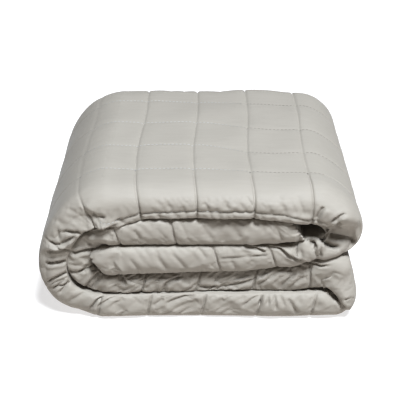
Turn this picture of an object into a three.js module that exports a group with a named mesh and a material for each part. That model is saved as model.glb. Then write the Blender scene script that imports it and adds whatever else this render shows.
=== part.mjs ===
// A box-stitched quilt, folded back and forth into a bundle of five thick layers.
// The quilt was folded in four front to back, so each layer ends in a rounded fold at the
// front and at the back. The long way it lies in five runs that hook into each other.
// Units are millimetres, +Z is up, -Y is the front, and the origin is under the bundle's middle.
import * as THREE from 'three';

// Quilting
const CELL = 75; // pitch of the sewn lines, both ways
const SEAM_HALF_WIDTH = 9; // from a sewn line to the shoulder of its trough
const LENGTH_SEAM_DEPTH = 3.2; // troughs of the lines that run front to back
const CROSS_SEAM_DEPTH = 1.6; // troughs of the lines that run along the quilt's length
const CROSS_SEAM_SHIFT = 10; // how far the lines along the length lie behind the middle
const CROWN = 1.8; // how far the middle of a cell stands proud
const PINCH = 3.5; // how far a sewn line draws a rounded fold inwards
const PINCH_SHARE = 0.2; // and the share of the thickness that it takes away there
const BOW_MIDDLE = -60; // where across the quilt the bowed lines bow most
const BOW_REACH = 150; // and how far from there they are straight again

// Bundle
const DEPTH = 356; // front to back, over the rounded folds
// Long waves that make the front and back folds uneven
const FOLD_WAVES = [
  { height: 2.2, length: 390 },
  { height: 1.3, length: 215 },
];
const BACK_REACH_SHARE = 0.75; // the back folds are rounded less far in than the front ones
const END_ROUNDING = 24; // rounding at the two ends of the quilt's length
const END_DRAW_IN = 17; // how far the corners of those ends are rounded off
const HEM_HALF = 3; // half the thickness of the sewn hem at those ends
const END_SEAM_CLEARANCE = 25; // no sewn line lies closer to an end than this

// Steps
const TRACE_STEP = 3; // spacing of the points that trace the section
const FLAT_STATIONS = [0, 0.12, 0.5, 0.88]; // shares of a cell that get points on a flat run
const TURN_STATIONS = [0, 0.12, 0.3, 0.44, 0.56, 0.7, 0.88]; // and where the quilt turns
const TURN_PROBES = [0.2, 0.5, 0.8]; // shares of a cell where it is tested for a turn
const END_STATIONS = [0, 0.06, 0.2, 0.5, 1]; // shares of an end's rounding
const END_CLEAR = 29; // the other points start this far from an end
const FOLD_ANGLES = [90, 74, 55, 34, 13, 0, -13, -36, -62, -90]; // points round a front or back fold
const INNER_SIDE_POINTS = 4; // points across the hidden face

// The runs of the section, in order from the quilt's inner end. knots gives the middle of the
// layer and its thickness. The outer face is the left side of the way along. setBack is how far
// the folds stand back from the bundle's front, outerReach and innerReach how far their rounding
// reaches in on each face, apex the share of the half thickness at which they stand out most, and
// foldSeam the depth of the line sewn along them. seamX is a place of a line that runs front to
// back, bow how far these lines bow to the left, and exposed is 1 where the quilting shows.
const runs = [
  {
    name: 'second', seamX: -33, exposed: 0, bow: 0,
    setBack: 6, outerReach: 14, innerReach: 16, apex: 0, foldSeam: 0.5,
    knots: [{ x: 134, z: 134.7, thick: 35 }, { x: -118, z: 134.7, thick: 35 }],
  },
  {
    name: 'fourth', seamX: 2, exposed: 0, bow: 0,
    setBack: 4, outerReach: 20, innerReach: 16, apex: 0, foldSeam: 2,
    knots: [
      { x: -118, z: 52.5, thick: 27 },
      { x: 40, z: 54.5, thick: 30 },
      { x: 120, z: 57, thick: 34 },
      { x: 170, z: 65, thick: 33 },
    ],
  },
  {
    name: 'bottom', seamX: 8, exposed: 0, bow: 0,
    setBack: 0, outerReach: 16, innerReach: 18, apex: 0, foldSeam: 1.5,
    knots: [{ x: 170, z: 17.5, thick: 35 }, { x: -130, z: 18.5, thick: 37 }],
  },
  {
    name: 'top', seamX: -1, exposed: 1, bow: 6,
    setBack: 1, outerReach: 58, innerReach: 14, apex: -0.2, foldSeam: 3,
    knots: [{ x: -118, z: 177, thick: 46 }, { x: 152, z: 177, thick: 46 }],
  },
  {
    name: 'third', seamX: 22, exposed: 0, bow: 0,
    setBack: 3, outerReach: 16, innerReach: 18, apex: 0, foldSeam: 2,
    knots: [
      { x: 157, z: 106, thick: 34 },
      { x: 122, z: 97, thick: 37 },
      { x: 40, z: 94, thick: 43 },
      { x: -140, z: 91.5, thick: 45 },
    ],
  },
];
// The turns between them: how far each reaches past the runs that it joins, its thickness, and
// its lean, under 1 where the turn reaches furthest before its middle.
const turns = [
  { name: 'left inner', reach: 42, thick: 28, lean: 1.06, exposed: 0 },
  { name: 'right lower', reach: 27, thick: 34, lean: 1, exposed: 1 },
  { name: 'left outer', reach: 73, thick: 37, lean: 0.9, exposed: 1 },
  { name: 'right roll', reach: 40, thick: 38, lean: 0.92, exposed: 1 },
];

const { clamp, lerp, degToRad } = THREE.MathUtils;
const smooth = (t) => THREE.MathUtils.smoothstep(t, 0, 1);
const COLUMNS = ['thick', 'setBack', 'outerReach', 'innerReach', 'apex', 'foldSeam', 'exposed', 'bow'];

// All columns of the table between two places
function blend(a, b, t) {
  return Object.fromEntries(COLUMNS.map((name) => [name, lerp(a[name], b[name], t)]));
}

const startOf = (run) => ({ ...run, ...run.knots[0] });
const endOf = (run) => ({ ...run, ...run.knots.at(-1) });

// Points along one run, evenly spaced between its knots
function traceRun(run) {
  const points = [];
  run.knots.slice(1).forEach((to, i) => {
    const from = run.knots[i];
    const steps = Math.ceil(Math.abs(to.x - from.x) / TRACE_STEP);
    for (let k = i ? 1 : 0; k <= steps; k++) {
      const t = k / steps;
      const columns = blend({ ...run, ...from }, { ...run, ...to }, smooth(t));
      points.push({ ...columns, x: lerp(from.x, to.x, t), z: lerp(from.z, to.z, smooth(t)), turning: false });
    }
  });
  return points;
}

// Points round the half ellipse that joins two runs
function traceTurn(turn, before, after) {
  const [from, to] = [endOf(before), startOf(after)];
  const way = Math.sign(from.x - startOf(before).x);
  const middle = (from.z + to.z) / 2;
  const half = (from.z - to.z) / 2;
  const steps = Math.ceil((Math.PI * Math.max(turn.reach, Math.abs(half))) / TRACE_STEP);
  const points = [];
  for (let k = 1; k < steps; k++) {
    const t = k / steps;
    const swell = Math.sin(Math.PI * t ** turn.lean);
    const columns = blend(from, to, t);
    points.push({
      ...columns,
      thick: lerp(columns.thick, turn.thick, swell),
      exposed: lerp(columns.exposed, turn.exposed, smooth(2 * swell)),
      x: lerp(from.x, to.x, t) + way * turn.reach * swell,
      z: middle + half * Math.cos(Math.PI * t),
      turning: true,
    });
  }
  return points;
}

// The whole section as points with their distance along it
function traceSection() {
  const points = runs.flatMap((run, i) => {
    const own = traceRun(run).map((p) => ({ ...p, run: i }));
    return i < turns.length ? [...own, ...traceTurn(turns[i], run, runs[i + 1])] : own;
  });
  points.forEach((p, i) => {
    const q = points[i - 1];
    p.along = q ? q.along + Math.hypot(p.x - q.x, p.z - q.z) : 0;
  });
  return points;
}

const section = traceSection();
const LENGTH = section.at(-1).along;

// The section at any distance along it
function sectionAt(along) {
  const last = section.length - 1;
  const found = section.findIndex((p) => p.along > along);
  const i = clamp(found === -1 ? last : found, 1, last);
  const [p, q] = [section[i - 1], section[i]];
  const t = clamp((along - p.along) / (q.along - p.along), 0, 1);
  const [a, b] = [section[Math.max(i - 2, 0)], section[Math.min(i + 1, last)]];
  const length = Math.hypot(b.x - a.x, b.z - a.z);
  return {
    ...blend(p, q, t),
    x: lerp(p.x, q.x, t),
    z: lerp(p.z, q.z, t),
    normalX: -(b.z - a.z) / length,
    normalZ: (b.x - a.x) / length,
    turning: p.turning || q.turning,
  };
}

// Distances along the section of the sewn lines: set on each run by a line's x, and spread
// evenly over the turns between
function seamPlaces() {
  const places = [];
  runs.forEach((run, index) => {
    const own = section.filter((p) => p.run === index);
    const nearest = (x) => own.reduce((a, b) => (Math.abs(a.x - x) < Math.abs(b.x - x) ? a : b)).along;
    const ends = [startOf(run).x, endOf(run).x];
    const first = Math.ceil((Math.min(...ends) - run.seamX) / CELL);
    const last = Math.floor((Math.max(...ends) - run.seamX) / CELL);
    const lines = [];
    for (let k = first; k <= last; k++) {
      lines.push(nearest(run.seamX + k * CELL));
    }
    lines.sort((a, b) => a - b);
    if (places.length) {
      const from = places.at(-1);
      const gaps = Math.max(1, Math.round((lines[0] - from) / CELL));
      for (let k = 1; k < gaps; k++) {
        places.push(lerp(from, lines[0], k / gaps));
      }
    }
    places.push(...lines);
  });
  return places.filter((s) => s > END_SEAM_CLEARANCE && s < LENGTH - END_SEAM_CLEARANCE);
}

const seams = seamPlaces();
const crossSeams = [-1.5, -0.5, 0.5, 1.5].map((k) => k * CELL + CROSS_SEAM_SHIFT);
const crossLines = [-DEPTH / 2, ...crossSeams, DEPTH / 2];

// Stations along the section: each sewn line, its shoulders, and the cell between
function stationPlaces() {
  const marks = [0, ...seams, LENGTH];
  const places = marks.slice(1).flatMap((to, i) => {
    const from = marks[i];
    const turning = TURN_PROBES.some((t) => sectionAt(lerp(from, to, t)).turning);
    const shares = turning ? TURN_STATIONS : FLAT_STATIONS;
    return shares.map((t) => lerp(from, to, t));
  });
  const ends = END_STATIONS.map((t) => t * END_ROUNDING);
  const inner = places.filter((s) => s > END_CLEAR && s < LENGTH - END_CLEAR);
  return [...ends, ...inner, ...ends.map((s) => LENGTH - s).reverse()];
}

const toNearest = (place, lines) => Math.min(...lines.map((line) => Math.abs(place - line)));

// 1 on a line of a set, 0 half a trough away from it and further
const troughAt = (place, lines) => 1 - smooth(toNearest(place, lines) / SEAM_HALF_WIDTH);

// 0 on a line of a set, 1 midway between two
const crownAt = (place, lines) => Math.sin((Math.PI / 2) * Math.min(1, toNearest(place, lines) / (CELL / 2)));

// The closed outline across a station, from the back along the outer face to the front, round
// the front fold, and back along the inner face. share is the part of the half thickness.
function outline() {
  const shoulders = crossSeams.flatMap((y) => [y - SEAM_HALF_WIDTH, y, y + SEAM_HALF_WIDTH]);
  const middles = crossSeams.slice(1).map((y) => y - CELL / 2);
  const outer = [...shoulders, ...middles].sort((a, b) => b - a);
  const fold = (sign) => (degrees) => {
    const angle = degToRad(degrees);
    return { face: 'fold', sign, onSeam: degrees === 0, round: Math.cos(angle), share: Math.sin(angle) };
  };
  const across = [...Array(INNER_SIDE_POINTS).keys()].map((k) => (k + 1) / (INNER_SIDE_POINTS + 1) - 0.5);
  return [
    ...outer.map((y) => ({ face: 'outer', share: 1, y })),
    ...FOLD_ANGLES.map(fold(-1)),
    ...across.map((t) => ({ face: 'inner', share: -1, y: t * DEPTH })),
    ...FOLD_ANGLES.map(fold(1)).reverse(),
  ];
}

const ring = outline();

// How far a fold stands out or in of its even line
function foldWave(along, sign) {
  return FOLD_WAVES.reduce((sum, w) => sum + w.height * Math.sin((2 * Math.PI * along) / w.length + sign), 0);
}

// The share of the full bow at a place across the quilt
const bowAt = (y) => 1 - smooth(Math.abs(y - BOW_MIDDLE) / BOW_REACH);

// One point of the quilt's surface
function surfacePoint(along, spot) {
  const fromEnd = Math.min(along, LENGTH - along);
  const rounding = Math.sqrt(1 - (1 - Math.min(1, fromEnd / END_ROUNDING)) ** 2);
  const trough = troughAt(along, seams);
  const at = sectionAt(along);
  const half = lerp(HEM_HALF, at.thick / 2, rounding);
  let offset = spot.share * half;
  let y = spot.y;
  if (spot.face === 'fold') {
    const fullReach = spot.share > 0 ? at.outerReach : at.innerReach;
    const reach = fullReach * (spot.sign > 0 ? BACK_REACH_SHARE : 1);
    const seamDepth = PINCH * trough + (spot.onSeam ? at.foldSeam : 0);
    const drawnIn = seamDepth + END_DRAW_IN * (1 - rounding) + foldWave(along, spot.sign);
    y = spot.sign * (DEPTH / 2 - at.setBack - reach * (1 - spot.round) - drawnIn * spot.round);
    offset += half * at.apex * (1 - Math.abs(spot.share));
    offset *= 1 - PINCH_SHARE * trough * spot.round;
  }
  const outward = Math.max(0, spot.share);
  const sewn = Math.max(LENGTH_SEAM_DEPTH * trough, CROSS_SEAM_DEPTH * troughAt(y, crossSeams));
  const crown = CROWN * crownAt(along, seams) * crownAt(y, crossLines);
  offset += (crown - sewn) * at.exposed * outward;
  const place = sectionAt(along - at.bow * bowAt(y) * outward);
  return [place.x + place.normalX * offset, y, Math.max(0, place.z + place.normalZ * offset)];
}

// The surface: the outline at every station, joined by strips, with a cap at each end
function quiltGeometry() {
  const stations = stationPlaces();
  const positions = stations.flatMap((along) => ring.flatMap((spot) => surfacePoint(along, spot)));
  const size = ring.length;
  const next = (j) => (j + 1) % size;
  const index = [];
  for (let row = 0; row < (stations.length - 1) * size; row += size) {
    for (let j = 0; j < size; j++) {
      const [a, b] = [row + j, row + next(j)];
      index.push(a, b, a + size, b, b + size, a + size);
    }
  }
  const cap = (row, turn) => {
    const middle = positions.length / 3;
    for (let k = 0; k < 3; k++) {
      const sum = ring.reduce((total, _, j) => total + positions[(row + j) * 3 + k], 0);
      positions.push(sum / size);
    }
    for (let j = 0; j < size; j++) {
      index.push(middle, ...turn(row + j, row + next(j)));
    }
  };
  cap(0, (a, b) => [b, a]);
  cap((stations.length - 1) * size, (a, b) => [a, b]);
  const geometry = new THREE.BufferGeometry();
  geometry.setAttribute('position', new THREE.Float32BufferAttribute(positions, 3));
  geometry.setIndex(index);
  geometry.computeBoundingBox();
  const box = geometry.boundingBox;
  const centre = box.getCenter(new THREE.Vector3());
  geometry.translate(-centre.x, -centre.y, -box.min.z);
  geometry.computeVertexNormals();
  return geometry;
}

const satin = new THREE.MeshStandardMaterial({ color: 0xbab7b0, roughness: 0.55, metalness: 0 });

const quilt = new THREE.Mesh(quiltGeometry(), satin);
quilt.name = 'quilt';

const bundle = new THREE.Group();
bundle.add(quilt);

export default bundle;
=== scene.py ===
"""The looks of a box-stitched quilt that lies folded in a bundle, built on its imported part.

Sizes are in millimetres unless a comment says otherwise. +Z is up and -Y is the front. In the functions
s is the distance along the quilt's section, and arc the distance round the ring of points at a station.
"""
import math

import bpy
import numpy as np
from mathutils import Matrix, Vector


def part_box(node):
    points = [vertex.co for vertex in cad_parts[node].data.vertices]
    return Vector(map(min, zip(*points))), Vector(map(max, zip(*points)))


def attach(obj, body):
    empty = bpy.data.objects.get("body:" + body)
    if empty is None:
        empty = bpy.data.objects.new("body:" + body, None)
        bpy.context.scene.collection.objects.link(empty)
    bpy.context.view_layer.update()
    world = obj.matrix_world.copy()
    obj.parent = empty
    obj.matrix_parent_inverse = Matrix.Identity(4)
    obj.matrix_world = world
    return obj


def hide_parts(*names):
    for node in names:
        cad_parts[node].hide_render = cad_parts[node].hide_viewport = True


MM = 0.001
TINY = 1e-9

# Camera
CAMERA_PLACE = (2.0, -1190.2, 778.9)
CAMERA_DOWN_DEG = 30.1
LENS = 82.8
SENSOR = 36.0

# Light, in metres and watts
KEY = dict(place=(0.8, -1.58, 4.15), target=(0, 0, 0.1), size=1.2, power=448, colour=(0.922, 1.011, 1.117))
FILL = dict(place=(0.4, -2.2, 1.0), target=(0, 0, 0.1), size=0.8, power=3, colour=(1.0, 0.98, 0.95))
WORLD_COLOUR = (1.0, 0.85, 0.68, 1)
WORLD_STRENGTH = 0.06
VIEW_GAMMA = 0.8

# Colours: the cloth's mean one and the two it varies between, the thread's painted glint and shade, the
# floor's
CLOTH_COLOUR = (0.302, 0.272, 0.234, 1)
DEEPER_CLOTH = (0.289, 0.26, 0.223, 1)
PALER_CLOTH = (0.315, 0.284, 0.245, 1)
THREAD_PAINTED_GLINT = (0.4, 0.39, 0.37, 1)
THREAD_PAINTED_SHADE = (0.17, 0.152, 0.128, 1)
FLOOR_COLOUR = (0.34, 0.32, 0.3, 1)
FLOOR_GLOW_COLOUR = (0.99, 0.99, 1.0, 1)

# Surfaces. The weave's scale is in bumps to a metre. The thread's colour is a painted glint up to the first
# half width from the middle along x, and painted shade from the second half width on.
CLOTH_ROUGHNESS = 0.62
CLOTH_SPECULAR = 0.15
SHEEN_WEIGHT = 0.05
SHEEN_ROUGHNESS = 0.4
WEAVE_STRETCH = (0.15, 1.0, 1.0)
WEAVE_SCALE = 150
WEAVE_DETAIL = 4
WEAVE_ROUGHNESS = 0.6
WEAVE_STRENGTH = 0.5
WEAVE_HEIGHT = 0.8
THREAD_ROUGHNESS = 0.6
# Where along x the thread's colour holds its painted glint, and where it turns to painted shade
PAINTED_GLINT_MIDDLE = -50.0
PAINTED_GLINT_HALF = 60.0
PAINTED_SHADE_HALF = 140.0
FLOOR_ROUGHNESS = 0.9
FLOOR_GLOW = 0.72
FLOOR_SIZE = 20000.0

# Bundle. A wave of the front and back folds is its height and length.
DEPTH = 356.0
FOLD_WAVES = [(2.2, 390.0), (1.3, 215.0)]
BACK_REACH_SHARE = 0.75
BOW_MIDDLE = -60.0
BOW_REACH = 150.0
GROUND_FADE = 15.0
GROUND_SHARE = 0.2

# Dips along the top's back edge: x, half width and depth. They fade out towards the front.
DIPS = [(150, 30, 5.0), (0, 60, 5.0), (-120, 70, 2.2)]
DIPS_FROM_Y = 50.0
DIPS_REACH_Y = 100.0

# The quilt's two hemmed ends: rounding, how far the lower side leans to the right, and the hem's gathers
# and scallops
END_ROUNDING = 12.0
END_DRAW_IN = 6.0
END_HEM_HALF = 15.0
INNER_END_LEAN = 10.0
OUTER_END_LEAN = 9.0
END_LEAN_REACH = 45.0
END_SEAM_CLEARANCE = 25.0
INNER_HEM_GATHER = 0.8
OUTER_HEM_GATHER = 2.4
HEM_GATHER_WIDTH = 7.0
HEM_GATHER_REACH = 22.0
HEM_GATHER_MEAN = 0.3
HEM_FACE_SHARE = 0.3
HEM_SEED = 41
HEM_SCALLOP = 2.0
HEM_SCALLOPS = 3

# Quilting: lines sewn front to back across the length, and cross seams that run along it
CELL = 75.0
CROSS_SEAM_SHIFT = 10.0
CROSS_SEAMS = [k * CELL + CROSS_SEAM_SHIFT for k in (-1.5, -0.5, 0.5, 1.5)]
LENGTH_SEAM_DEPTH = 1.9
LENGTH_SEAM_REACH = 15.0
FAINTER_ON_TURNS = 0.7
FAINTER_GAIN = 3
CROSS_SEAM_DEPTH = 0.5
CROSS_SEAM_DEPTH_ON_TURNS = 1.5
CROSS_SEAM_REACH = 10.0
GROOVE_DEPTH = 1.2
GROOVE_HALF_WIDTH = 1.5
PINCH = 2.2
PINCH_GROOVE = 2.2
PINCH_REACH = 14.0

# How far the cross seams lie nearer the front than that, at the left and at the roll. It fades out towards
# the front, and by a share towards the back. A fade is the y where it starts and its reach.
LINES_FORWARD_LEFT = 10.0
LINES_FORWARD_RIGHT = 36.0
LINES_SLANT_REACH = 107.0
LINES_FRONT_FADE = (-150.0, 100.0)
LINES_BACK_FADE = (60.0, 90.0)
LINES_BACK_LOSS = 0.5

# The line sewn along the top layer's front: x and how far it sags there. Under it is a puckered lip.
FRONT_LINE = [
    (-135, -14), (-108, -10), (-79, -7), (-51, -6), (0, -3.5), (60, -2.5), (105, -4), (128, -7), (146, -12),
]
FRONT_LINE_HALF_WIDTH = 1.4
LIP_HEIGHT = 2.9
LIP_DROP = 8.0
LIP_HALF_WIDTH = 5.0
SCALLOP_REACH = 35.0
PUCKER = dict(slant_deg=-62, length=40, width=10, seed=21)
PUCKER_HEIGHT = 1.5
PUCKER_REACH = 15.0
PUCKER_MEAN = 0.35
PUCKER_PATCH_SEED = 33

# Stitches of thread along the sewn lines. A line is stitched where its column, exposed or sewn_front, is
# more than a least value.
STITCH_PITCH = 5.6
STITCH_LENGTH = 3.6
STITCH_WIDTH = 0.8
STITCH_HEIGHT = 0.35
STITCH_SINK = 0.3
STITCH_TAPER = 0.3
STITCH_CORNERS = 8
LINES_SHOWN_FROM = 0.5
FRONT_SHOWN_FROM = 0.9

# Wrinkles on the folds, drawn out along a slant. where is the column that says how strong they are.
WRINKLES = [
    dict(where="falls_right", height=1.2, noise=dict(slant_deg=-48, length=70, width=11, seed=3)),
    dict(where="falls_left", height=2.6, noise=dict(slant_deg=32, length=75, width=11, seed=5)),
    dict(where="turning", height=1.0, noise=dict(slant_deg=90, length=46, width=16, seed=7)),
]
WRINKLE_FADE = 0.6
WRINKLE_PATCH_SEED = 31
PUFF_MEAN = 0.3
CREASE_MEAN = 0.6
CREASE_WIDTH = 0.22

# Noise: the points of its lattice each way, and the gain that brings it to about -1 to 1
LATTICE = 256
LATTICE_GAIN = 1.5

# Patches where wrinkles are stronger or weaker, and a slow unevenness
PATCH_LENGTH = 55.0
PATCH_WIDTH = 40.0
PATCH_MEAN = 0.55
PATCH_SWING = 0.75
PATCH_LEAST = 0.1
PATCH_MOST = 1.2
SLOW_HEIGHT = 1.3
SLOW_LENGTH = 60.0
SLOW_SEED = 11

# Steps of the mesh
TRACE_STEP = 1.5
LEAST_STEP = 1e-6
STATION_STEP = 1.65
STATION_GATHER = 0.35
COARSE = 2
COARSEST = 6
END_STEPS = 12
OUTER_OFFSETS = (0, 1.5, 4, 8, 14, 22, 31)
OUTER_FRONT = -115.0
OUTER_BACK = 131.0
FRONT_OUTER_POINTS = 30
FRONT_INNER_POINTS = 16
BACK_POINTS = 8
INNER_POINTS = 8

# Cloth simulation of the folds. The cloth is let out by a share of its size.
MOST_LET_OUT = 0.08
LET_OUT_EVEN = 0.5
LET_OUT_PATCH_SEED = 35
CLOTH_FRAMES = 14
CLOTH_QUALITY = 5
CLOTH_MASS = 0.02
CLOTH_STIFFNESS = 15.0
CLOTH_SHEAR = 5.0
CLOTH_BENDING = 2.5
MOST_SHIFT = 5.0
GROUP_LEVELS = 20
HELD_HALF_WIDTH = 1.6
LOOSE_GAIN = 2.2
LOOSE_FROM = 0.3
TOP_HELD_FROM = 8.0
TOP_HELD_FADE = 22.0

# Runs of the section, from the quilt's inner end. A knot is x, z and the thickness there. set_back is how
# far the folds stand back from the bundle's front, outer_reach and inner_reach how far their rounding reaches
# in on each face, and outer_full and inner_full its shape: 1 is elliptic and less is fuller. apex is where
# they stand out most, as a share of the half thickness. seam_x is the place of a line sewn front to back, bow
# how far it bows, seam_slant its slant on the folds, pinched whether it draws them in, and puffed the stretch
# of x where they hide it. fold_seam is the depth of a line sewn along the folds, line_shift its place, and
# sewn_front is 1 for the top's own. falls_right and falls_left are the strength of the slanting wrinkles,
# let_out the share by which the cloth is let out, and exposed is 1 where the quilting shows.
COLUMNS = (
    "pinched", "seam_slant", "let_out", "set_back", "outer_reach", "inner_reach", "outer_full", "inner_full",
    "apex", "fold_seam", "line_shift", "sewn_front", "falls_right", "falls_left", "exposed", "bow",
)
PLAIN = dict(
    pinched=1, seam_slant=0, puffed=(0, 0), outer_full=1, inner_full=0.9, apex=0, fold_seam=0, line_shift=0,
    sewn_front=0, falls_right=0, falls_left=0, exposed=0, bow=0,
)
RUNS = [
    dict(PLAIN, name="second", seam_x=-31, seam_slant=-0.2, puffed=(0, 140), let_out=0.012, set_back=2,
         outer_reach=13, inner_reach=10, falls_right=1,
         knots=[(131, 141, 37), (60, 137, 41), (-60, 137, 41), (-118, 133, 34)]),
    dict(PLAIN, name="fourth", seam_x=2, seam_slant=0.27, let_out=0.04, set_back=9.5,
         outer_reach=13, inner_reach=6, falls_left=1,
         knots=[(-118, 54, 30), (-20, 55, 32), (40, 57, 31), (120, 60, 37), (183, 74, 53)]),
    dict(PLAIN, name="bottom", seam_x=8, seam_slant=0.2, let_out=0.022, set_back=1,
         outer_reach=14, inner_reach=8, falls_left=0.6,
         knots=[(190, 22, 40), (120, 20.5, 41), (20, 19.5, 39), (-130, 19, 38)]),
    dict(PLAIN, name="top", seam_x=-1, let_out=0.022, set_back=1, outer_reach=48, inner_reach=8,
         outer_full=0.76, apex=-0.2, fold_seam=2.5, sewn_front=1, exposed=1, bow=6,
         knots=[(-118, 173.5, 55), (-60, 180, 41), (60, 180.5, 40), (110, 179, 43), (152, 176, 50)]),
    dict(PLAIN, name="third", seam_x=26, seam_slant=-0.28, puffed=(-140, 0), let_out=0.014, set_back=1,
         outer_reach=13, inner_reach=13, falls_right=1,
         knots=[(157, 112, 33), (122, 100, 37), (40, 95.5, 43), (-106, 94, 46), (-133, 86, 36)]),
]

# Turns between the runs. reach is how far one stands out past them, thick its thickness there, and lean puts
# its fullest place past its middle where it is over 1. The columns are its own, taken on at a gain.
TURNS = [
    dict(name="left inner", reach=42, thick=34, lean=1.25, set_back=13, outer_reach=8, inner_reach=5,
         fold_seam=0, falls_right=0, falls_left=0),
    dict(name="right lower", reach=9.5, thick=43, lean=1.7, outer_reach=18, inner_reach=8,
         exposed=1, pinched=0, let_out=0.008, falls_left=0),
    dict(name="left outer", reach=71, thick=40, lean=0.82, set_back=9, outer_reach=22, inner_reach=5,
         exposed=1, apex=-0.3, let_out=0.012, fold_seam=0.7, line_shift=20, falls_left=0),
    dict(name="right roll", reach=39, thick=50, lean=1.25, exposed=1, pinched=0, falls_right=0),
]
TURN_GAIN = 2

# What is listed for the front folds has its places x, z as the camera sees them on this plane
FRONT_PLANE = -176.0

# Broad swellings, and hollows where the rise is negative: x, z, half width, half height and rise
SWELLINGS = [
    (208, 44, 14, 18, 5),
    (188, 172, 26, 17, 7),
    (200, 138, 22, 20, -10),
    (168, 140, 13, 8, -9),
    (126, 163, 16, 7, 4),
    (-128, 152, 24, 7, 5),
    (-137, 135, 18, 9, 8),
    (-188, 120, 18, 8, 4),
    (-140, 182, 14, 10, 3),
]

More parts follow.
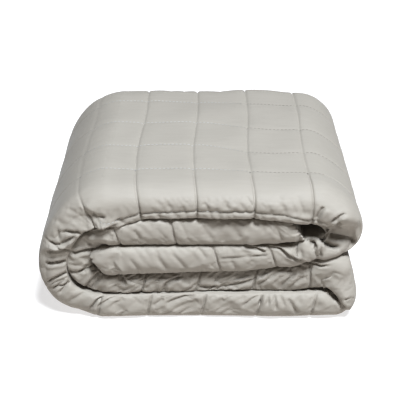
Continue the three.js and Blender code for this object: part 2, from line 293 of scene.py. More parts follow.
# Main creases: half width, depth, step, and the line's points. A negative depth is a ridge. A step raises
# what lies left of the line's way. A crease tapers over a share of its length at each end, and its lips'
# rise is a share of its depth. Creases and swellings fade out where the folds end.
LIP_SHARE = 0.25
LIP_OFFSET = 2.4
LIP_SPREAD = 1.6
STEP_FADE = 13.0
TAPER = 0.18
CREASE_GAIN = 2.2
CREASE_FROM = 0.35
CREASES = {
    "left outer fold": [
        (2.0, 5.5, 0, [(-180, 141), (-172, 144), (-163, 144), (-150, 144)]),
        (2.2, 3.0, 0, [(-181, 146), (-184, 132)]),
        (2.0, 5.0, 0, [(-199, 129), (-189, 124), (-181, 124), (-171, 131), (-157, 141)]),
        (4.0, -3.0, 0, [(-199, 121), (-187, 119), (-176, 122), (-163, 132)]),
        (2.0, 3.5, 0, [(-202, 113), (-185, 113), (-173, 117)]),
        (2.0, 7.0, 0, [(-205, 94), (-195, 93), (-184, 94), (-174, 98)]),
        (2.0, 7.0, 0, [(-204, 62), (-195, 68), (-183, 74), (-169, 82)]),
        (2.0, 4.0, 0, [(-201, 57), (-191, 64), (-180, 69), (-173, 73)]),
        (2.0, 3.5, 0, [(-198, 50), (-188, 59), (-178, 69)]),
        (2.4, 3.5, 0, [(-190, 44), (-181, 54), (-172, 69)]),
        (2.6, 2.0, 0, [(-181, 29), (-164, 39), (-149, 50)]),
    ],
    "left inner fold": [
        (2.0, 6.5, 0, [(-170, 115), (-163, 109), (-149, 113), (-136, 115), (-123, 116)]),
        (3.0, 3.0, 0, [(-150, 137), (-146, 130), (-139, 123)]),
        (3.0, 2.0, 0, [(-127, 141), (-119, 135), (-111, 130)]),
        (2.0, 3.5, 0, [(-161, 78), (-154, 82), (-145, 93)]),
        (2.0, 6.5, 0, [(-156, 49), (-149, 59), (-140, 70), (-130, 83)]),
        (2.0, 5.0, 0, [(-149, 50), (-139, 62), (-128, 78)]),
    ],
    "top": [
        (2.2, 4.0, 0, [(-138, 172), (-131, 166), (-118, 164)]),
        (5.0, -2.0, 0, [(-145, 187), (-139, 179), (-132, 173)]),
        (1.8, 6.0, 6, [
            (-168, 118), (-156, 135), (-148, 144), (-130, 147), (-117, 151), (-109, 155), (-100, 157),
        ]),
        (2.2, 2.0, 0, [(-104, 164), (-96, 156)]),
        (2.2, 2.0, 0, [(-76, 168), (-72, 156)]),
        (2.2, 2.0, 0, [(-53, 170), (-48, 164), (-42, 156)]),
        (2.6, 1.4, 0, [(6, 187), (14, 176)]),
        (2.6, 1.4, 0, [(33, 189), (38, 176)]),
        (2.6, 1.6, 0, [(60, 198), (70, 180)]),
        (4.5, 1.8, 0, [(101, 200), (113, 170)]),
        (4.0, 1.6, 0, [(115, 196), (126, 168)]),
        (4.5, 2.2, 0, [(124, 200), (138, 165)]),
    ],
    "second": [
        (2.2, 2.0, 0, [(-120, 147), (-117, 138), (-110, 134)]),
        (2.2, 2.0, 0, [(-84, 146), (-80, 137), (-75, 129)]),
        (3.0, 1.2, 0, [(-56, 149), (-40, 130)]),
        (3.0, 1.2, 0, [(-24, 157), (-14, 135)]),
        (3.0, 1.2, 0, [(42, 157), (55, 132)]),
        (3.0, 1.5, 0, [(99, 151), (110, 129)]),
    ],
    "third": [
        (3.0, -2.0, 0, [(-113, 98), (-103, 85), (-98, 73)]),
        (2.6, 2.0, 0, [(-92, 101), (-82, 86), (-76, 73)]),
        (2.6, 2.0, 0, [(-57, 107), (-50, 94), (-40, 82)]),
        (2.6, 2.0, 0, [(-37, 111), (-27, 98), (-16, 84)]),
        (2.6, 1.8, 0, [(-2, 120), (11, 100)]),
        (1.3, 2.6, 0, [(24, 101), (60, 103), (99, 107)]),
        (2.6, 1.8, 0, [(42, 98), (54, 80)]),
        (2.2, 6.0, 3, [(58, 124), (75, 117), (90, 110)]),
        (1.6, 6.0, 4, [(86, 123), (107, 117), (118, 107), (126, 102), (140, 96), (161, 91), (179, 92)]),
    ],
    "fourth": [
        (2.4, 6.0, 0, [(-105, 76), (-98, 57)]),
        (2.2, 5.0, 0, [(-48, 44), (-44, 60), (-34, 68), (-20, 72)]),
        (2.6, 2.5, 0, [(-95, 47), (-74, 60)]),
        (2.2, 5.0, 0, [(-5, 55), (27, 54), (56, 61), (79, 69)]),
        (2.6, 2.5, 0, [(16, 52), (30, 75)]),
        (2.4, 3.0, 0, [(78, 57), (96, 69), (104, 79)]),
        (2.4, 3.0, 0, [(110, 53), (120, 67), (131, 78)]),
        (2.4, 3.0, 0, [(121, 53), (142, 73)]),
    ],
    "bottom": [
        (2.0, 6.0, 0, [(-151, 15), (-138, 32), (-125, 44), (-116, 45)]),
        (2.2, 3.0, 0, [(-143, 17), (-130, 29), (-106, 44)]),
        (2.6, 2.5, 0, [(-63, 22), (-46, 36)]),
        (2.6, 3.0, 0, [(-50, 25), (-27, 36), (6, 47)]),
        (2.4, 3.0, 0, [(57, 20), (74, 35), (87, 45)]),
        (2.0, 4.0, 0, [(82, 22), (90, 48)]),
        (2.0, 3.0, 0, [(95, 24), (94, 48)]),
        (2.0, 4.0, 0, [(106, 16), (102, 48)]),
        (2.0, 3.0, 0, [(118, 21), (108, 47)]),
        (2.4, 3.0, 0, [(121, 36), (135, 10)]),
    ],
    "right lower turn": [
        (2.2, 7.0, 6, [(164, 54), (175, 48), (184, 38), (194, 27), (212, 8)]),
        (5.0, 12.0, 0, [(168, 54), (177, 47), (184, 38), (191, 29)]),
        (1.8, 2.0, 0, [(197, 37), (204, 39), (212, 41)]),
        (1.8, 1.6, 0, [(199, 30), (210, 36)]),
    ],
    "right roll": [
        (2.0, 5.0, 3, [(161, 182), (156, 170), (152, 160)]),
        (2.0, 5.0, 4, [(153, 157), (159, 151), (167, 148), (176, 151), (183, 160)]),
        (1.8, -2.0, 0, [(167, 158), (173, 167), (182, 175), (191, 180)]),
        (2.0, 3.5, 0, [(171, 159), (179, 169), (190, 177)]),
        (1.8, -1.5, 0, [(174, 156), (181, 163), (187, 169)]),
        (2.0, 6.0, 0, [(184, 161), (179, 152), (178, 148), (183, 144), (188, 141)]),
        (2.0, 4.0, 0, [(166, 131), (176, 128), (187, 125), (200, 121), (207, 121)]),
        (14.0, 16.0, 0, [(168, 131), (177, 128), (187, 125), (200, 121), (210, 121)]),
        (2.2, 5.0, 0, [(140, 147), (149, 121), (160, 98)]),
        (2.2, 4.0, 0, [(132, 142), (133, 117), (138, 97)]),
        (2.2, 2.5, 0, [(126, 130), (126, 103)]),
    ],
}

# Pleats from the hollow of the roll into the cloth past it, as rows of the same kind
PLEATS = [
    (3.0, 15.0, 0, [(131, 157), (138, 147), (145, 136), (150, 126), (155, 114)]),
    (3.6, 16.0, 0, [(155, 149), (158, 141), (163, 131), (171, 124), (188, 117)]),
    (2.5, 8.0, 0, [(127, 140), (129, 118), (131, 101)]),
    (2.5, 5.0, 0, [(163, 126), (161, 115), (161, 101)]),
]
PLEATS_GAIN = 5.0
PLEATS_FADE = 25.0


def smooth(t):
    t = np.clip(t, 0, 1)
    return t * t * (3 - 2 * t)


def lerp(a, b, t):
    return a + (b - a) * t


def bump(distance, half_width):
    return np.exp(-(distance / half_width) ** 2)


def trace_run(run):
    """Points along one run, with its columns."""
    parts = []
    for (x0, z0, thick0), (x1, z1, thick1) in zip(run["knots"], run["knots"][1:]):
        t = np.linspace(0, 1, math.ceil(abs(x1 - x0) / TRACE_STEP))
        eased = smooth(t)
        parts.append(np.array([lerp(x0, x1, t), lerp(z0, z1, eased), lerp(thick0, thick1, eased)]))
    x, z, thick = np.concatenate(parts, axis=1)
    own = {name: np.full(len(x), float(run[name])) for name in COLUMNS}
    return dict(own, x=x, z=z, thick=thick, turning=np.zeros(len(x)))


def trace_turn(turn, before, after):
    """Points round the half ellipse that joins two runs."""
    x0, z0, thick0 = before["knots"][-1]
    x1, z1, thick1 = after["knots"][0]
    way = np.sign(x0 - before["knots"][0][0])
    half = (z0 - z1) / 2
    steps = math.ceil(math.pi * max(turn["reach"], abs(half)) / TRACE_STEP)
    t = np.arange(1, steps) / steps
    swell = np.sin(np.pi * t ** turn["lean"])
    own = {}
    for name in COLUMNS:
        between = lerp(before[name], after[name], t)
        own[name] = lerp(between, turn.get(name, between), smooth(TURN_GAIN * swell))
    thick = lerp(lerp(thick0, thick1, t), turn["thick"], swell)
    x = lerp(x0, x1, t) + way * turn["reach"] * swell
    z = (z0 + z1) / 2 + half * np.cos(np.pi * t)
    return dict(own, x=x, z=z, thick=thick, turning=swell)


def trace_section():
    """The whole section as a table of columns over the distance along it."""
    parts = []
    for i, run in enumerate(RUNS):
        parts.append(dict(trace_run(run), run=i))
        if i < len(TURNS):
            parts.append(dict(trace_turn(TURNS[i], run, RUNS[i + 1]), run=i))
    for part in parts:
        part["run"] = np.full(len(part["x"]), part["run"])
    table = {name: np.concatenate([part[name] for part in parts]) for name in parts[0]}
    step = np.hypot(np.diff(table["x"]), np.diff(table["z"]))
    kept = np.append(True, step > LEAST_STEP)
    table = {name: column[kept] for name, column in table.items()}
    step = np.hypot(np.diff(table["x"]), np.diff(table["z"]))
    table["along"] = np.append(0, np.cumsum(step))
    way_x = np.gradient(table["x"], table["along"])
    way_z = np.gradient(table["z"], table["along"])
    length = np.hypot(way_x, way_z)
    table["normal_x"] = -way_z / length
    table["normal_z"] = way_x / length
    return table


SECTION = trace_section()
LENGTH = SECTION["along"][-1]


def at(along, name):
    return np.interp(along, SECTION["along"], SECTION[name])


def from_ends(along):
    return np.minimum(along, LENGTH - along)


def puffed_over(along):
    """Whether the fold is puffed out over a sewn line there, so that the line doesn't show."""
    nearest = np.argmin(np.abs(SECTION["along"] - along))
    low, high = RUNS[SECTION["run"][nearest]]["puffed"]
    return SECTION["turning"][nearest] == 0 and low < SECTION["x"][nearest] < high


def seam_places():
    """Distances along the section of the lines sewn front to back."""
    places = []
    for i, run in enumerate(RUNS):
        own = (SECTION["run"] == i) & (SECTION["turning"] == 0)
        ends = sorted((run["knots"][0][0], run["knots"][-1][0]))
        first = math.ceil((ends[0] - run["seam_x"]) / CELL)
        last = math.floor((ends[1] - run["seam_x"]) / CELL)
        lines = []
        for k in range(first, last + 1):
            nearest = np.argmin(np.abs(SECTION["x"][own] - run["seam_x"] - k * CELL))
            lines.append(SECTION["along"][own][nearest])
        lines.sort()
        if places:
            gaps = max(1, round((lines[0] - places[-1]) / CELL))
            places += list(np.linspace(places[-1], lines[0], gaps + 1)[1:-1])
        places += lines
    return [s for s in places if from_ends(s) > END_SEAM_CLEARANCE and not puffed_over(s)]


SEAMS = seam_places()


def gathered(a, b, step):
    """Places from a up to b, closer together at both ends, in a count that can be thinned."""
    count = COARSEST * math.ceil((b - a) / step / COARSEST)
    t = np.arange(count) / count
    return lerp(a, b, t - STATION_GATHER * np.sin(2 * np.pi * t) / (2 * np.pi))


def station_places():
    """Distances along the section of the mesh's stations, closer together at the sewn lines."""
    end = END_ROUNDING * (1 - np.cos(np.arange(END_STEPS) / END_STEPS * np.pi / 2))
    marks = [END_ROUNDING, *SEAMS, LENGTH - END_ROUNDING]
    middle = [gathered(a, b, STATION_STEP) for a, b in zip(marks, marks[1:])]
    return np.concatenate([end, *middle, [LENGTH - END_ROUNDING], LENGTH - end[::-1]])


def outline():
    """The ring of points round a station: outer face, front fold, inner face, back fold."""
    near = [y + side * off for y in CROSS_SEAMS for off in OUTER_OFFSETS for side in (-1, 1)]
    outer = sorted({y for y in near if OUTER_FRONT < y < OUTER_BACK}, reverse=True)
    inner = (np.arange(INNER_POINTS) + 1) / (INNER_POINTS + 1) * DEPTH - DEPTH / 2
    front = np.concatenate([
        np.linspace(90, 0, FRONT_OUTER_POINTS + 1),
        np.linspace(0, -90, FRONT_INNER_POINTS + 1)[1:],
    ])
    back = np.linspace(-90, 90, 2 * BACK_POINTS + 1)
    parts = [("outer", 90, outer), ("front", front, 0), ("inner", -90, inner), ("back", back, 0)]
    rows = []
    for kind, degrees, y in parts:
        size = max(np.size(degrees), np.size(y))
        rows += zip([kind] * size, np.broadcast_to(degrees, size), np.broadcast_to(y, size))
    kinds, degrees, y = (np.array(column) for column in zip(*rows))
    angle = np.radians(degrees)
    side = np.select([kinds == "front", kinds == "back"], [-1.0, 1.0], 0.0)
    roundness = np.where(side == 0, 0, np.maximum(np.cos(angle), 0))
    return dict(kind=kinds, share=np.sin(angle), round=roundness, side=side, y=y)


def nearest_distance(place, lines):
    return np.min(np.abs(np.asarray(place)[..., None] - np.array(lines)), axis=-1)


def base_surface(along, ring):
    """The quilt's smooth form as an array of stations by ring points."""
    s = along[:, None]
    rounding = np.sqrt(1 - (1 - np.clip(from_ends(s) / END_ROUNDING, 0, 1)) ** 2)
    half = lerp(END_HEM_HALF, at(s, "thick") / 2, rounding)
    share = ring["share"]
    side = ring["side"]
    full = np.where(share > 0, at(s, "outer_full"), at(s, "inner_full"))
    cosine = ring["round"] ** full
    sine = np.sign(share) * np.abs(share) ** full
    reach = np.where(share > 0, at(s, "outer_reach"), at(s, "inner_reach"))
    reach = reach * np.where(side > 0, BACK_REACH_SHARE, 1)
    wave = sum(h * np.sin(2 * np.pi * s / length + side) for h, length in FOLD_WAVES)
    drawn_in = END_DRAW_IN * (1 - rounding) + wave
    fold_y = side * (DEPTH / 2 - at(s, "set_back") - reach * (1 - cosine) - drawn_in * cosine)
    y = np.where(side == 0, ring["y"] - lines_forward(s, ring["y"]), fold_y)
    apex = np.where(side == 0, 0, at(s, "apex") * (1 - np.abs(share)))
    offset = half * (sine + apex)
    bow = at(s, "bow") * (1 - smooth(np.abs(y - BOW_MIDDLE) / BOW_REACH)) * np.maximum(0, share)
    place = s - bow
    x = at(place, "x") + at(place, "normal_x") * offset + end_shift(s, share)
    z = at(place, "z") + at(place, "normal_z") * offset
    z = z - back_dips(x, y) * at(s, "sewn_front") * np.maximum(0, share)
    return np.stack([x, y, np.maximum(z, 0)], axis=-1)


def lines_forward(s, y):
    """How far a line that runs along the length lies nearer the front."""
    most = lerp(LINES_FORWARD_LEFT, LINES_FORWARD_RIGHT, smooth(at(s, "x") / LINES_SLANT_REACH))
    front, front_reach = LINES_FRONT_FADE
    back, back_reach = LINES_BACK_FADE
    kept = smooth((y - front) / front_reach) * (1 - LINES_BACK_LOSS * smooth((y - back) / back_reach))
    return most * kept * at(s, "exposed")


def back_dips(x, y):
    """How far the top droops along its back edge."""
    drop = sum(depth * bump(x - place, half) for place, half, depth in DIPS)
    return drop * smooth((y - DIPS_FROM_Y) / DIPS_REACH_Y)


def end_shift(s, share):
    """The lean of the two hemmed ends, and the scallops of their edge."""
    inner = s < LENGTH / 2
    lean = np.where(inner, INNER_END_LEAN, OUTER_END_LEAN) * share
    scallop = HEM_SCALLOP * np.abs(np.sin(HEM_SCALLOPS * np.pi * share)) * np.where(inner, 1, -1)
    near_end = smooth(1 - from_ends(s) / END_LEAN_REACH)
    at_edge = smooth(1 - from_ends(s) / HEM_GATHER_WIDTH)
    return lean * near_end + scallop * at_edge


def placed(base):
    """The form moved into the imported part's box, on the surface that it lies on."""
    flat = base.reshape(-1, 3)
    low, high = (np.array(corner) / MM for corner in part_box("quilt"))
    base = base + (low + high) / 2 - (flat.min(axis=0) + flat.max(axis=0)) / 2
    base[..., 2] -= base[..., 2].min()
    return base


def surface_normals(points):
    """Outward normals of a grid that closes round the ring."""
    along = np.gradient(points, axis=0)
    ring = np.roll(points, -1, axis=1) - np.roll(points, 1, axis=1)
    normal = np.cross(ring, along)
    return normal / np.maximum(np.linalg.norm(normal, axis=-1, keepdims=True), TINY)


def lattice_noise(u, v, seed):
    """Smooth noise from about -1 to 1, one bump to a unit of u and v."""
    angle = np.random.default_rng(seed).random((LATTICE, LATTICE)) * 2 * np.pi
    i = np.floor(u).astype(int)
    j = np.floor(v).astype(int)
    fu = u - i
    fv = v - j

    def corner(di, dj):
        turn = angle[(i + di) % LATTICE, (j + dj) % LATTICE]
        return np.cos(turn) * (fu - di) + np.sin(turn) * (fv - dj)

    wu = fu ** 3 * (fu * (6 * fu - 15) + 10)
    wv = fv ** 3 * (fv * (6 * fv - 15) + 10)
    low = lerp(corner(0, 0), corner(1, 0), wu)
    high = lerp(corner(0, 1), corner(1, 1), wu)
    return LATTICE_GAIN * lerp(low, high, wv)


def slanted_noise(u, v, slant_deg, length, width, seed):
    """Noise drawn out along a slant, one wrinkle to a length and width."""
    slant = math.radians(slant_deg)
    along = u * math.cos(slant) + v * math.sin(slant)
    across = v * math.cos(slant) - u * math.sin(slant)
    return lattice_noise(along / length, across / width, seed)


def pillow(distance, reach):
    """0 on a sewn line, rising round like a stuffed cell to 1 at its reach."""
    t = np.clip(distance / reach, 0, 1)
    return np.sqrt(1 - (1 - t) ** 2)


def ring_arc(points, ring):
    """Distance round the ring from the front fold's middle, positive towards the outer face."""
    step = np.linalg.norm(np.diff(points, axis=1), axis=-1)
    arc = np.concatenate([np.zeros((len(points), 1)), np.cumsum(step, axis=1)], axis=1)
    apex = int(np.argmax(ring["round"] * (ring["side"] < 0)))
    return arc[:, apex:apex + 1] - arc


def from_fold_line(s, x, arc):
    """Distance round the ring from the line sewn along the fold, positive towards the outer face."""
    places, sags = zip(*FRONT_LINE)
    return arc - at(s, "line_shift") - at(s, "sewn_front") * np.interp(x, places, sags)


def sewn_relief(s, arc, ring):
    """Troughs along the sewn lines: on the faces that show, and where they pinch the folds."""
    exposed = at(s, "exposed") * np.clip(ring["share"], 0, 1)
    turning = at(s, "turning")
    to_seam = nearest_distance(s, SEAMS)
    to_cross = nearest_distance(ring["y"], CROSS_SEAMS)
    groove = GROOVE_DEPTH * bump(to_seam, GROOVE_HALF_WIDTH)
    length_trough = LENGTH_SEAM_DEPTH * (1 - pillow(to_seam, LENGTH_SEAM_REACH)) + groove
    length_trough = length_trough * (1 - FAINTER_ON_TURNS * smooth(FAINTER_GAIN * turning))
    cross_depth = lerp(CROSS_SEAM_DEPTH, CROSS_SEAM_DEPTH_ON_TURNS, turning)
    cross_trough = cross_depth * (1 - pillow(to_cross, CROSS_SEAM_REACH))
    to_slanted = nearest_distance(s - at(s, "seam_slant") * arc, SEAMS)
    pinch = PINCH * (1 - pillow(to_slanted, PINCH_REACH))
    pinch = pinch + PINCH_GROOVE * bump(to_slanted, GROOVE_HALF_WIDTH)
    pinch = pinch * at(s, "pinched") * np.sqrt(ring["round"])
    return -(length_trough + cross_trough) * exposed - pinch * (1 - exposed)


def fold_line_relief(s, from_line, ring):
    """The line sewn along the folds' middle, with the puckered lip under the top layer's."""
    front = ring["round"] * (ring["side"] < 0)
    pucker = np.abs(slanted_noise(s, from_line, **PUCKER))
    scallop = pillow(nearest_distance(s, SEAMS), SCALLOP_REACH)
    lip = LIP_HEIGHT * scallop * bump(from_line + LIP_DROP, LIP_HALF_WIDTH) * (PUCKER_MEAN + pucker)
    gathers = PUCKER_HEIGHT * (pucker - PUCKER_MEAN) * bump(from_line, PUCKER_REACH)
    gathers = gathers * patches(s, from_line, PUCKER_PATCH_SEED)
    line = at(s, "fold_seam") * bump(from_line, FRONT_LINE_HALF_WIDTH)
    return front * (at(s, "sewn_front") * (lip + gathers) - line)


def folds(noise):
    """Noise as round puffs with narrow creases between them."""
    depth = np.abs(noise)
    puff = depth - PUFF_MEAN
    crease = CREASE_MEAN - np.exp(-depth / CREASE_WIDTH)
    return (puff + crease) / 2


def patches(s, arc, seed):
    """Uneven strength of the wrinkles."""
    noise = lattice_noise(s / PATCH_LENGTH, arc / PATCH_WIDTH, seed)
    return np.clip(PATCH_MEAN + PATCH_SWING * noise, PATCH_LEAST, PATCH_MOST)


def wrinkle_relief(s, arc, ring):
    """Slanting wrinkles on the folds, and a slow unevenness over all that shows."""
    wrinkle = np.zeros(arc.shape)
    for row in WRINKLES:
        wrinkle += at(s, row["where"]) * row["height"] * folds(slanted_noise(s, arc, **row["noise"]))
    wrinkle = wrinkle * patches(s, arc, WRINKLE_PATCH_SEED) * ring["round"] ** WRINKLE_FADE
    exposed = at(s, "exposed") * np.clip(ring["share"], 0, 1)
    slow = SLOW_HEIGHT * lattice_noise(s / SLOW_LENGTH, arc / SLOW_LENGTH, SLOW_SEED)
    return wrinkle + slow * np.maximum(exposed, ring["round"])


def hem_relief(s, arc, ring):
    """Small gathers at the quilt's two hemmed ends."""
    noise = lattice_noise(arc / HEM_GATHER_WIDTH, s / END_LEAN_REACH, HEM_SEED)
    gather = np.abs(noise) - HEM_GATHER_MEAN
    height = np.where(s < LENGTH / 2, INNER_HEM_GATHER, OUTER_HEM_GATHER)
    near_end = bump(from_ends(s), HEM_GATHER_REACH)
    return height * gather * near_end * np.maximum(ring["round"], HEM_FACE_SHARE)


def seen_on_front(points):
    """Where each point is seen from the camera on the bundle's front plane."""
    camera = np.array(CAMERA_PLACE)
    reach = (FRONT_PLANE - camera[1]) / (points[..., 1] - camera[1])
    seen = camera + (points - camera) * reach[..., None]
    return seen[..., 0], seen[..., 2]


def crease_relief(x, z, width, depth, step, line):
    """One crease: a trough with soft lips along a line, and a step across it."""
    lengths = [math.dist(a, b) for a, b in zip(line, line[1:])]
    best = np.full(x.shape, np.inf)
    side = np.zeros(x.shape)
    part = np.zeros(x.shape)
    done = 0
    for (ax, az), (bx, bz), length in zip(line, line[1:], lengths):
        way_x, way_z = (bx - ax) / length, (bz - az) / length
        t = np.clip((x - ax) * way_x + (z - az) * way_z, 0, length)
        off_x, off_z = x - ax - t * way_x, z - az - t * way_z
        distance = np.hypot(off_x, off_z)
        nearer = distance < best
        best = np.where(nearer, distance, best)
        side = np.where(nearer, np.sign(way_x * off_z - way_z * off_x), side)
        part = np.where(nearer, (done + t) / sum(lengths), part)
        done += length
    taper = smooth(part / TAPER) * smooth((1 - part) / TAPER)
    lips = LIP_SHARE * depth * bump(best - LIP_OFFSET * width, LIP_SPREAD * width)
    stepped = step / 2 * np.tanh(side * best / width) * bump(best, STEP_FADE)
    return taper * (lips - depth * np.exp(-best / width) + stepped)


def creases_relief(points, ring):
    """How far the listed creases and swellings bring the front folds forward."""
    front = np.flatnonzero(ring["side"] < 0)
    x, z = seen_on_front(points[:, front])
    total = np.zeros(x.shape)
    for rows in CREASES.values():
        for row in rows:
            total += crease_relief(x, z, *row)
    for place_x, place_z, half_x, half_z, rise in SWELLINGS:
        total += rise * bump(np.hypot((x - place_x) / half_x, (z - place_z) / half_z), 1)
    move = np.zeros(points.shape[:2])
    move[:, front] = total * np.clip(CREASE_GAIN * ring["round"][front] - CREASE_FROM, 0, 1)
    return move


def past_roll(s):
    """1 on the cloth past the middle of the right roll."""
    middle = SECTION["along"][np.argmax(SECTION["turning"] * (SECTION["run"] == len(TURNS) - 1))]
    return smooth((s - middle) / PLEATS_FADE)


def pleats_relief(s, points, ring):
    """The pleats, sunk into the front fold of the cloth past the roll."""
    front = np.flatnonzero(ring["side"] < 0)
    x, z = seen_on_front(points[:, front])
    total = np.minimum(0, sum(crease_relief(x, z, *row) for row in PLEATS))
    move = np.zeros(points.shape[:2])
    move[:, front] = total * np.clip(PLEATS_GAIN * ring["round"][front], 0, 1) * past_roll(s)
    return move


def quilt_surface():
    """The finished surface: its stations, ring and points, and how far they are from the fold's line."""
    along = station_places()
    ring = outline()
    s = along[:, None]
    base = placed(base_surface(along, ring))
    arc = ring_arc(base, ring)
    from_line = from_fold_line(s, base[..., 0], arc)
    move = sewn_relief(s, arc, ring)
    move = move + fold_line_relief(s, from_line, ring)
    move = move + wrinkle_relief(s, arc, ring)
    move = move + hem_relief(s, arc, ring)
    grounded = lerp(GROUND_SHARE, 1, smooth(base[..., 2] / GROUND_FADE))
    points = base + surface_normals(base) * (move * grounded)[..., None]
    points[..., 1] -= creases_relief(base, ring) * grounded
    points = points + surface_normals(points) * pleats_relief(s, points, ring)[..., None]
    loose = looseness(s, from_line, ring) * grounded
    let_out = at(s, "let_out") * loose * (LET_OUT_EVEN + patches(s, arc, LET_OUT_PATCH_SEED))
    for side in (-1, 1):
        own = np.flatnonzero(ring["side"] == side)
        points[:, own] = settled(points[:, own], loose[:, own], let_out[:, own])
    points[..., 2] = np.maximum(points[..., 2], 0)
    return dict(along=along, ring=ring, points=points, from_line=from_line)


def looseness(s, from_line, ring):
    """1 where the cloth of a fold is free to wrinkle, 0 where it is sewn or lies on other cloth."""
    loose = np.clip(LOOSE_GAIN * ring["round"] - LOOSE_FROM, 0, 1)
    loose = loose * (1 - bump(nearest_distance(s, SEAMS), HELD_HALF_WIDTH))
    on_line = bump(from_line, HELD_HALF_WIDTH)
    held = np.maximum(on_line, smooth((from_line - TOP_HELD_FROM) / TOP_HELD_FADE))
    return loose * (1 - at(s, "sewn_front") * held) * smooth(from_ends(s) / END_ROUNDING)


def doubled(field, axis):
    """The field with a value between each two along an axis, on the cubic through the nearest four."""
    field = np.moveaxis(field, axis, 0)
    padded = np.concatenate([field[:1], field, field[-1:]])
    between = (9 * (padded[1:-2] + padded[2:-1]) - padded[:-3] - padded[3:]) / 16
    out = np.empty((2 * len(field) - 1, *field.shape[1:]))
    out[::2] = field
    out[1::2] = between
    return np.moveaxis(out, 0, axis)


def add_group(strip, name, weights):
    """A vertex group of the weights, in a few levels."""
    levels = np.round(np.clip(weights, 0, 1).ravel() * GROUP_LEVELS) / GROUP_LEVELS
    group = strip.vertex_groups.new(name=name)
    for level in np.unique(levels[levels > 0]):
        group.add(np.flatnonzero(levels == level).tolist(), float(level), "REPLACE")


def settled(points, loose, let_out):
    """A strip of cloth let out a little between what holds it, so that it wrinkles by simulation.

    Every second point each way is simulated.
    """
    rest = points[::2, ::2] * MM
    stations, size = rest.shape[:2]
    i = np.arange(stations - 1)[:, None] * size
    j = np.arange(size - 1)[None, :]
    corners = i + j
    quads = np.stack([corners, corners + 1, corners + size + 1, corners + size], axis=-1)
    mesh = bpy.data.meshes.new("strip")
    mesh.from_pydata(rest.reshape(-1, 3).tolist(), [], quads.reshape(-1, 4).tolist())
    strip = bpy.data.objects.new("strip", mesh)
    bpy.context.scene.collection.objects.link(strip)
    add_group(strip, "held", 1 - loose[::2, ::2])
    add_group(strip, "kept size", 1 - let_out[::2, ::2] / MOST_LET_OUT)
    add_cloth(strip)
    for frame in range(1, CLOTH_FRAMES + 1):
        bpy.context.scene.frame_set(frame)
    moved = strip.evaluated_get(bpy.context.evaluated_depsgraph_get()).data
    now = np.empty(len(mesh.vertices) * 3)
    moved.vertices.foreach_get("co", now)
    bpy.context.scene.frame_set(1)
    bpy.data.objects.remove(strip)
    shift = now.reshape(rest.shape) / MM - rest / MM
    length = np.linalg.norm(shift, axis=-1, keepdims=True)
    shift = shift * MOST_SHIFT * np.tanh(length / MOST_SHIFT) / np.maximum(length, TINY)
    return points + doubled(doubled(shift, 0), 1)


def add_cloth(strip):
    """A cloth simulation that holds one group and lets out what is less than wholly in the other."""
    cloth = strip.modifiers.new("cloth", "CLOTH")
    cloth.collision_settings.use_collision = False
    cloth.point_cache.frame_start = 1
    cloth.point_cache.frame_end = CLOTH_FRAMES
    own = cloth.settings
    own.quality = CLOTH_QUALITY
    own.mass = CLOTH_MASS
    own.tension_stiffness = CLOTH_STIFFNESS
    own.compression_stiffness = CLOTH_STIFFNESS
    own.shear_stiffness = CLOTH_SHEAR
    own.bending_stiffness = CLOTH_BENDING
    own.vertex_group_mass = "held"
    own.vertex_group_shrink = "kept size"
    own.shrink_min = -MOST_LET_OUT
    own.shrink_max = 0
    own.effector_weights.gravity = 0


def column_stations(along, ring):
    """The stations that each ring column uses: all at the front, fewer where less shows."""
    every = np.arange(len(along))
    coarse = every[::COARSE]
    coarsest = every[::COARSEST]
    shown = at(along, "exposed") > 0
    outer = coarse[shown[coarse] | (coarse % COARSEST == 0)]
    by_kind = dict(outer=outer, front=every, inner=coarsest, back=coarse)
    return [by_kind[kind] for kind in ring["kind"]]


def strip_faces(rows, number):
    """Faces between neighbouring ring columns. Where one has fewer stations they have more sides."""
    faces = []
    for j, left in enumerate(rows):
        k = (j + 1) % len(rows)
        right = rows[k]
        few = left if len(left) < len(right) else right
        in_left = np.searchsorted(left, few)
        in_right = np.searchsorted(right, few)
        for i in range(len(few) - 1):
            up = number[right[in_right[i]:in_right[i + 1] + 1], k]
            down = number[left[in_left[i]:in_left[i + 1] + 1], j]
            faces.append([*up, *down[::-1]])
    return faces


def quilt_mesh(surface):
    points = surface["points"]
    rows = column_stations(surface["along"], surface["ring"])
    used = np.zeros(points.shape[:2], bool)
    for j, own in enumerate(rows):
        used[own, j] = True
    number = np.cumsum(used.ravel()).reshape(used.shape) - 1
    faces = strip_faces(rows, number)
    faces.append(list(number[0, ::-1]))
    faces.append(list(number[-1]))
    mesh = bpy.data.meshes.new("quilt")
    mesh.from_pydata((points[used] * MM).tolist(), [], faces)
    mesh.shade_smooth()
    return mesh


def thread_lines(surface):
    """The cross lines that show, as pairs of station numbers and ring number."""
    ring = surface["ring"]
    shown = np.flatnonzero(at(surface["along"], "exposed") > LINES_SHOWN_FROM)
    stretches = np.split(shown, np.flatnonzero(np.diff(shown) > 1) + 1)
    outer = np.flatnonzero(ring["kind"] == "outer")
    lines = []
    for y in CROSS_SEAMS:
        column = outer[np.argmin(np.abs(ring["y"][outer] - y))]
        lines += [(stretch, column) for stretch in stretches]
    return lines


def front_thread(surface, values):
    """Values on the line sewn along the top layer's front."""
    front = np.flatnonzero(surface["ring"]["side"] < 0)
    stations = np.flatnonzero(at(surface["along"], "sewn_front") > FRONT_SHOWN_FROM)
    rows = []
    for i in stations:
        below = -surface["from_line"][i, front]
        rows.append([np.interp(0, below, values[i, front, axis]) for axis in range(3)])
    return np.array(rows)


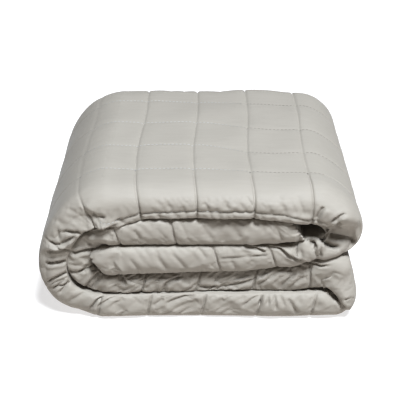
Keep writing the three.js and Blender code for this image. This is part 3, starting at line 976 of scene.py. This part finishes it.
def stitches(points, normals):
    """Corners of short raised stitches along a line on the cloth, eight to a stitch."""
    step = np.linalg.norm(np.diff(points, axis=0), axis=1)
    along = np.append(0, np.cumsum(step))
    starts = np.arange(STITCH_PITCH / 2, along[-1] - STITCH_LENGTH, STITCH_PITCH)

    def sample(values, places):
        return np.stack([np.interp(places, along, values[:, axis]) for axis in range(3)], axis=-1)

    a = sample(points, starts)
    b = sample(points, starts + STITCH_LENGTH)
    up = sample(normals, starts + STITCH_LENGTH / 2)
    across = np.cross(up, b - a)
    across = across / np.linalg.norm(across, axis=-1, keepdims=True) * STITCH_WIDTH / 2
    low = [a - across, a + across, b + across, b - across]
    middle = (a + b) / 2
    high = [lerp(corner, middle, STITCH_TAPER) + up * STITCH_HEIGHT for corner in low]
    low = [corner - up * STITCH_SINK for corner in low]
    return np.stack(low + high, axis=1).reshape(-1, 3)


def stitch_mesh(surface):
    points = surface["points"]
    normals = surface_normals(points)
    corners = [stitches(points[i, j], normals[i, j]) for i, j in thread_lines(surface)]
    corners.append(stitches(front_thread(surface, points), front_thread(surface, normals)))
    corners = np.concatenate(corners)
    sides = [(3, 2, 1, 0), (4, 5, 6, 7), (0, 1, 5, 4), (1, 2, 6, 5), (2, 3, 7, 6), (3, 0, 4, 7)]
    first = np.arange(0, len(corners), STITCH_CORNERS)
    faces = (first[:, None, None] + np.array(sides)).reshape(-1, 4)
    mesh = bpy.data.meshes.new("stitches")
    mesh.from_pydata((corners * MM).tolist(), [], faces.tolist())
    return mesh


def plain_material(name, colour, roughness):
    material = bpy.data.materials.new(name)
    material.use_nodes = True
    shader = material.node_tree.nodes["Principled BSDF"]
    shader.inputs["Base Color"].default_value = colour
    shader.inputs["Roughness"].default_value = roughness
    return material


def cloth_material():
    """Satin cloth with a soft sheen and a fine uneven weave, drawn out along x."""
    material = plain_material("satin cloth", CLOTH_COLOUR, CLOTH_ROUGHNESS)
    nodes = material.node_tree.nodes
    links = material.node_tree.links
    shader = nodes["Principled BSDF"]
    shader.inputs["Specular IOR Level"].default_value = CLOTH_SPECULAR
    shader.inputs["Sheen Weight"].default_value = SHEEN_WEIGHT
    shader.inputs["Sheen Roughness"].default_value = SHEEN_ROUGHNESS
    place = nodes.new("ShaderNodeTexCoord")
    noise = nodes.new("ShaderNodeTexNoise")
    noise.inputs["Scale"].default_value = WEAVE_SCALE
    noise.inputs["Detail"].default_value = WEAVE_DETAIL
    noise.inputs["Roughness"].default_value = WEAVE_ROUGHNESS
    relief = nodes.new("ShaderNodeBump")
    relief.inputs["Strength"].default_value = WEAVE_STRENGTH
    relief.inputs["Distance"].default_value = WEAVE_HEIGHT * MM
    shade = nodes.new("ShaderNodeMix")
    shade.data_type = "RGBA"
    shade.inputs["A"].default_value = DEEPER_CLOTH
    shade.inputs["B"].default_value = PALER_CLOTH
    links.new(noise.outputs["Fac"], shade.inputs["Factor"])
    links.new(shade.outputs["Result"], shader.inputs["Base Color"])
    stretch = nodes.new("ShaderNodeMapping")
    stretch.inputs["Scale"].default_value = WEAVE_STRETCH
    links.new(place.outputs["Object"], stretch.inputs["Vector"])
    links.new(stretch.outputs["Vector"], noise.inputs["Vector"])
    links.new(noise.outputs["Fac"], relief.inputs["Height"])
    links.new(relief.outputs["Normal"], shader.inputs["Normal"])
    return material


def painted_glint_thread_material():
    """Thread with a painted glint in the middle of the length, turning to painted shade towards its ends."""
    material = plain_material("thread", THREAD_PAINTED_GLINT, THREAD_ROUGHNESS)
    nodes = material.node_tree.nodes
    links = material.node_tree.links
    shader = nodes["Principled BSDF"]
    place = nodes.new("ShaderNodeTexCoord")
    split = nodes.new("ShaderNodeSeparateXYZ")
    offset = nodes.new("ShaderNodeMath")
    offset.operation = "SUBTRACT"
    offset.inputs[1].default_value = PAINTED_GLINT_MIDDLE * MM
    distance = nodes.new("ShaderNodeMath")
    distance.operation = "ABSOLUTE"
    into_painted_shade = nodes.new("ShaderNodeMapRange")
    into_painted_shade.inputs["From Min"].default_value = PAINTED_GLINT_HALF * MM
    into_painted_shade.inputs["From Max"].default_value = PAINTED_SHADE_HALF * MM
    shade = nodes.new("ShaderNodeMix")
    shade.data_type = "RGBA"
    shade.inputs["A"].default_value = THREAD_PAINTED_GLINT
    shade.inputs["B"].default_value = THREAD_PAINTED_SHADE
    links.new(place.outputs["Object"], split.inputs["Vector"])
    links.new(split.outputs["X"], offset.inputs[0])
    links.new(offset.outputs["Value"], distance.inputs[0])
    links.new(distance.outputs["Value"], into_painted_shade.inputs["Value"])
    links.new(into_painted_shade.outputs["Result"], shade.inputs["Factor"])
    links.new(shade.outputs["Result"], shader.inputs["Base Color"])
    return material


def add_piece(name, mesh, material):
    piece = bpy.data.objects.new(name, mesh)
    bpy.context.scene.collection.objects.link(piece)
    mesh.materials.append(material)
    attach(piece, "root")
    return piece


def add_quilt():
    surface = quilt_surface()
    cloth = add_piece("quilt_cloth", quilt_mesh(surface), cloth_material())
    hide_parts("quilt")
    add_piece("quilt_stitches", stitch_mesh(surface), painted_glint_thread_material())


def add_floor():
    bpy.ops.mesh.primitive_plane_add(size=FLOOR_SIZE * MM)
    floor = bpy.context.object
    floor.name = "floor"
    material = plain_material("pale floor", FLOOR_COLOUR, FLOOR_ROUGHNESS)
    shader = material.node_tree.nodes["Principled BSDF"]
    shader.inputs["Emission Color"].default_value = FLOOR_GLOW_COLOUR
    shader.inputs["Emission Strength"].default_value = FLOOR_GLOW
    floor.data.materials.append(material)


def add_light(name, place, target, size, power, colour):
    light = bpy.data.lights.new(name, "AREA")
    light.shape = "DISK"
    light.size = size
    light.energy = power
    light.color = colour
    lamp = bpy.data.objects.new(name, light)
    bpy.context.scene.collection.objects.link(lamp)
    lamp.location = place
    way = np.array(target) - np.array(place)
    lamp.rotation_euler = (
        math.atan2(math.hypot(way[0], way[1]), -way[2]),
        0,
        math.atan2(way[1], way[0]) - math.pi / 2,
    )


def add_world():
    world = bpy.data.worlds.new("studio")
    bpy.context.scene.world = world
    world.use_nodes = True
    background = world.node_tree.nodes["Background"]
    background.inputs["Color"].default_value = WORLD_COLOUR
    background.inputs["Strength"].default_value = WORLD_STRENGTH


def add_camera():
    camera = bpy.data.cameras.new("camera")
    camera.lens = LENS
    camera.sensor_width = SENSOR
    holder = bpy.data.objects.new("camera", camera)
    bpy.context.scene.collection.objects.link(holder)
    holder.location = [value * MM for value in CAMERA_PLACE]
    holder.rotation_euler = (math.radians(90 - CAMERA_DOWN_DEG), 0, 0)
    bpy.context.scene.camera = holder


bpy.ops.wm.read_factory_settings(use_empty=True)
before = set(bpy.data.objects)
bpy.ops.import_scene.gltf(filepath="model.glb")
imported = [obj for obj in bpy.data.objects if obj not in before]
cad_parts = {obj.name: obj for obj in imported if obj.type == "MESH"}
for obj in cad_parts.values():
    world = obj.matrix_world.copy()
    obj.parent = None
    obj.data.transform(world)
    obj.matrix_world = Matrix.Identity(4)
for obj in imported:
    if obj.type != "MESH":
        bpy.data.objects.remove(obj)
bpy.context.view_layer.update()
add_quilt()
add_floor()
add_world()
add_light("key", **KEY)
add_light("fill", **FILL)
add_camera()
bpy.context.scene.view_settings.view_transform = "Standard"
bpy.context.scene.view_settings.gamma = VIEW_GAMMA
